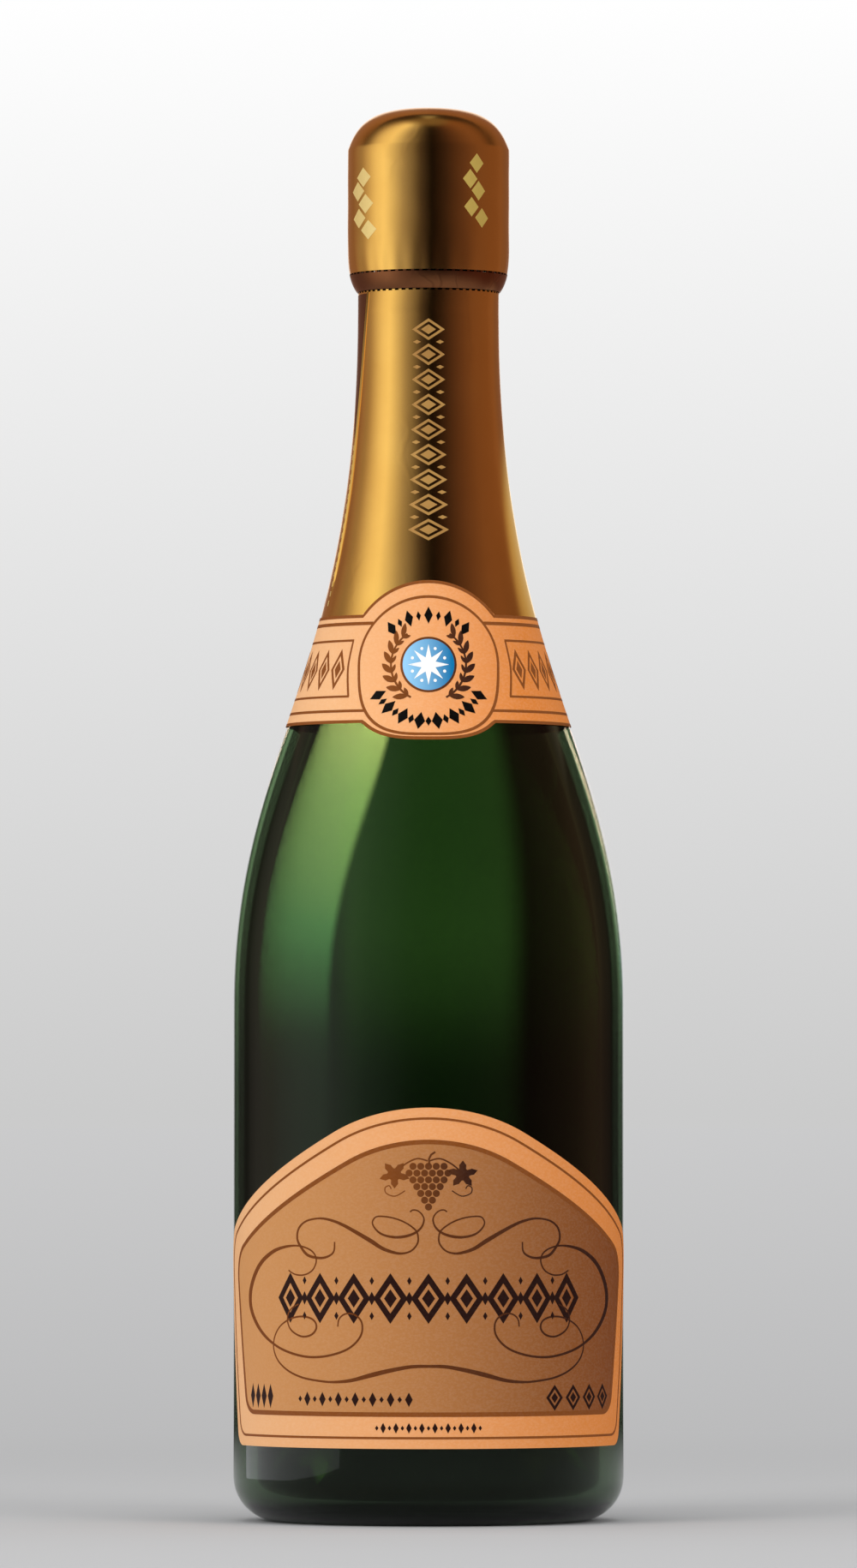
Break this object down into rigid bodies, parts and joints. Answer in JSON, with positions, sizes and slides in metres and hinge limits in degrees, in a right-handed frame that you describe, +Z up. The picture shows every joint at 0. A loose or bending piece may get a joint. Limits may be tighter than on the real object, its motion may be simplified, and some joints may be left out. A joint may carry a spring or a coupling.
{
  "type": "champagne bottle",
  "caption": "Full sparkling wine bottle in green glass, with wired mushroom cork, foil capsule with tear strip, collar label and arched front label.",
  "frame": {"origin": "middle of the base on the plane that the bottle stands on", "axes": "+Z up along the bottle's axis, -Y towards the front label, +X to the viewer's right"},
  "size_m": [0.088, 0.0881, 0.319],
  "materials": {
    "glass": "polished",
    "wine": "gloss",
    "cork": "matte",
    "cork_disc": "matte",
    "wire": "satin",
    "cap": "gloss",
    "foil": "satin",
    "foil_dark": "satin",
    "foil_gold": "satin",
    "collar_paper": "matte",
    "label_paper": "matte"
  },
  "bodies": {
    "bottle": {"glass_bottle": "glass", "wine": "wine", "tear_strip": "foil_dark", "foil_sleeve": "foil", "collar_label": "collar_paper", "front_label": "label_paper"},
    "tab": {"tear_tab": "foil_gold"},
    "cork": {"cork_body": "cork", "cork_disc_upper": "cork_disc", "cork_disc_lower": "cork_disc"},
    "cage": {"cage_cap": "cap", "cage_frame": "wire", "cage_belt": "wire"},
    "loop": {"cage_loop": "wire"},
    "hood": {"hood_skirt": "foil", "hood_top": "foil"}
  },
  "joints": [
    {"name": "cork_lift", "type": "slide", "parent": "bottle", "child": "cork", "axis": [0, 0, 1], "range_m": [0, 0.06]},
    {"name": "cage_lift", "type": "slide", "parent": "cork", "child": "cage", "axis": [0, 0, 1], "range_m": [0, 0.05], "deforming": ["cage_belt"]},
    {"name": "hood_lift", "type": "slide", "parent": "cage", "child": "hood", "axis": [0, 0, 1], "range_m": [0, 0.15]},
    {"name": "loop_fold", "type": "hinge", "parent": "cage", "child": "loop", "pos_m": [0, -0.01595, 0.2806], "axis": [1, 0, 0], "range_deg": [0, 45]},
    {"name": "tab_pull", "type": "hinge", "parent": "bottle", "child": "tab", "pos_m": [0, 0.0179, 0.2791], "axis": [0, 0, -1], "range_deg": [0, 100]}
  ],
  "couplings": [
    {"joint": "loop_fold", "follows": "hood_lift", "rad_per_m": 5.235}
  ]
}
